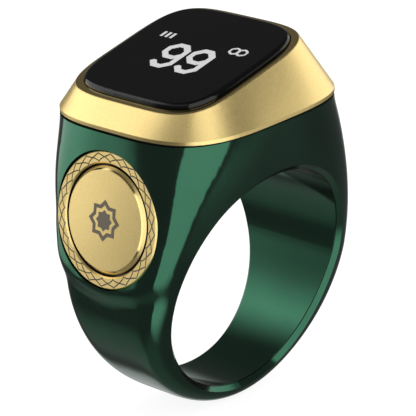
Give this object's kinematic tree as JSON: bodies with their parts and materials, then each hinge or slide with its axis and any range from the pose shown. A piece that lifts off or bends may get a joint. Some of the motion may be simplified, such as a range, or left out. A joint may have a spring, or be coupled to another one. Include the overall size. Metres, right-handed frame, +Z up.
{
  "type": "finger ring counter",
  "caption": "Finger ring with a tilted rounded display head and a round push button on its side, which counts each press.",
  "frame": {"origin": "centre of the finger hole", "axes": "+Y along the finger hole, +Z up to the display, button on the -X side"},
  "size_m": [0.0259, 0.0194, 0.0329],
  "materials": {
    "green_lacquer": "glossy dark green lacquer over metal",
    "satin_gold": "fine satin gold anodising",
    "cover_glass": "polished black-tinted glass",
    "panel_glass": "dark display glass",
    "seal_rubber": "soft black rubber",
    "black_plastic": "moulded black plastic",
    "adhesive": "black adhesive film",
    "board_laminate": "green solder resist",
    "flex_film": "amber film",
    "chip_resin": "moulded chip resin",
    "fired_ceramic": null,
    "nickel": "bright nickel",
    "foil_pouch": "laminated foil",
    "foam": "grey foam",
    "motor_steel": "drawn steel",
    "magnet_black": "sintered magnet",
    "copper": "enamelled copper wire",
    "heavy_alloy": "sintered heavy metal",
    "cover_black": "smooth black plastic",
    "contact_gold": "gold plating"
  },
  "bodies": {
    "ring": {"ring_body": "green_lacquer", "bezel": "satin_gold", "bezel_gasket": "seal_rubber", "cover_lens": "cover_glass", "lens_tape": "adhesive", "display_panel": "panel_glass", "display_frame": "black_plastic", "display_flex": "flex_film", "display_connector": "chip_resin", "main_board": "board_laminate", "radio_chip": "chip_resin", "charger_chip": "chip_resin", "crystal_can": "nickel", "chip_antenna": "fired_ceramic", "chip_capacitors": "fired_ceramic", "battery_cell": "foil_pouch", "battery_pad": "foam", "battery_tabs": "nickel", "motor_can": "motor_steel", "motor_end_cap": "black_plastic", "motor_magnet": "magnet_black", "inner_cover": "cover_black", "cover_gasket": "seal_rubber", "charging_contacts": "contact_gold", "charging_magnets": "nickel", "contact_flex": "flex_film", "button_collar": "satin_gold", "button_seal": "seal_rubber", "switch_case": "black_plastic", "switch_dome": "nickel", "switch_flex": "flex_film"},
    "button": {"button_cap": "satin_gold"},
    "plunger": {"switch_plunger": "black_plastic"},
    "rotor": {"motor_shaft": "motor_steel", "motor_coil": "copper", "motor_weight": "heavy_alloy"}
  },
  "joints": [
    {"name": "button_press", "type": "slide", "parent": "ring", "child": "button", "axis": [0.9936, 0, -0.1132], "range_m": [0, 0.0003], "stiffness_N_per_m": 4000, "deforming": ["switch_dome"]},
    {"name": "switch_press", "type": "slide", "parent": "ring", "child": "plunger", "axis": [0.9936, 0, -0.1132], "range_m": [0, 0.00045]},
    {"name": "motor_spin", "type": "hinge", "parent": "ring", "child": "rotor", "pos_m": [-0.00571, 0, 0.01202], "axis": [0, 1, 0], "continuous": true}
  ],
  "couplings": [
    {"joint": "switch_press", "follows": "button_press", "ratio": 1}
  ]
}
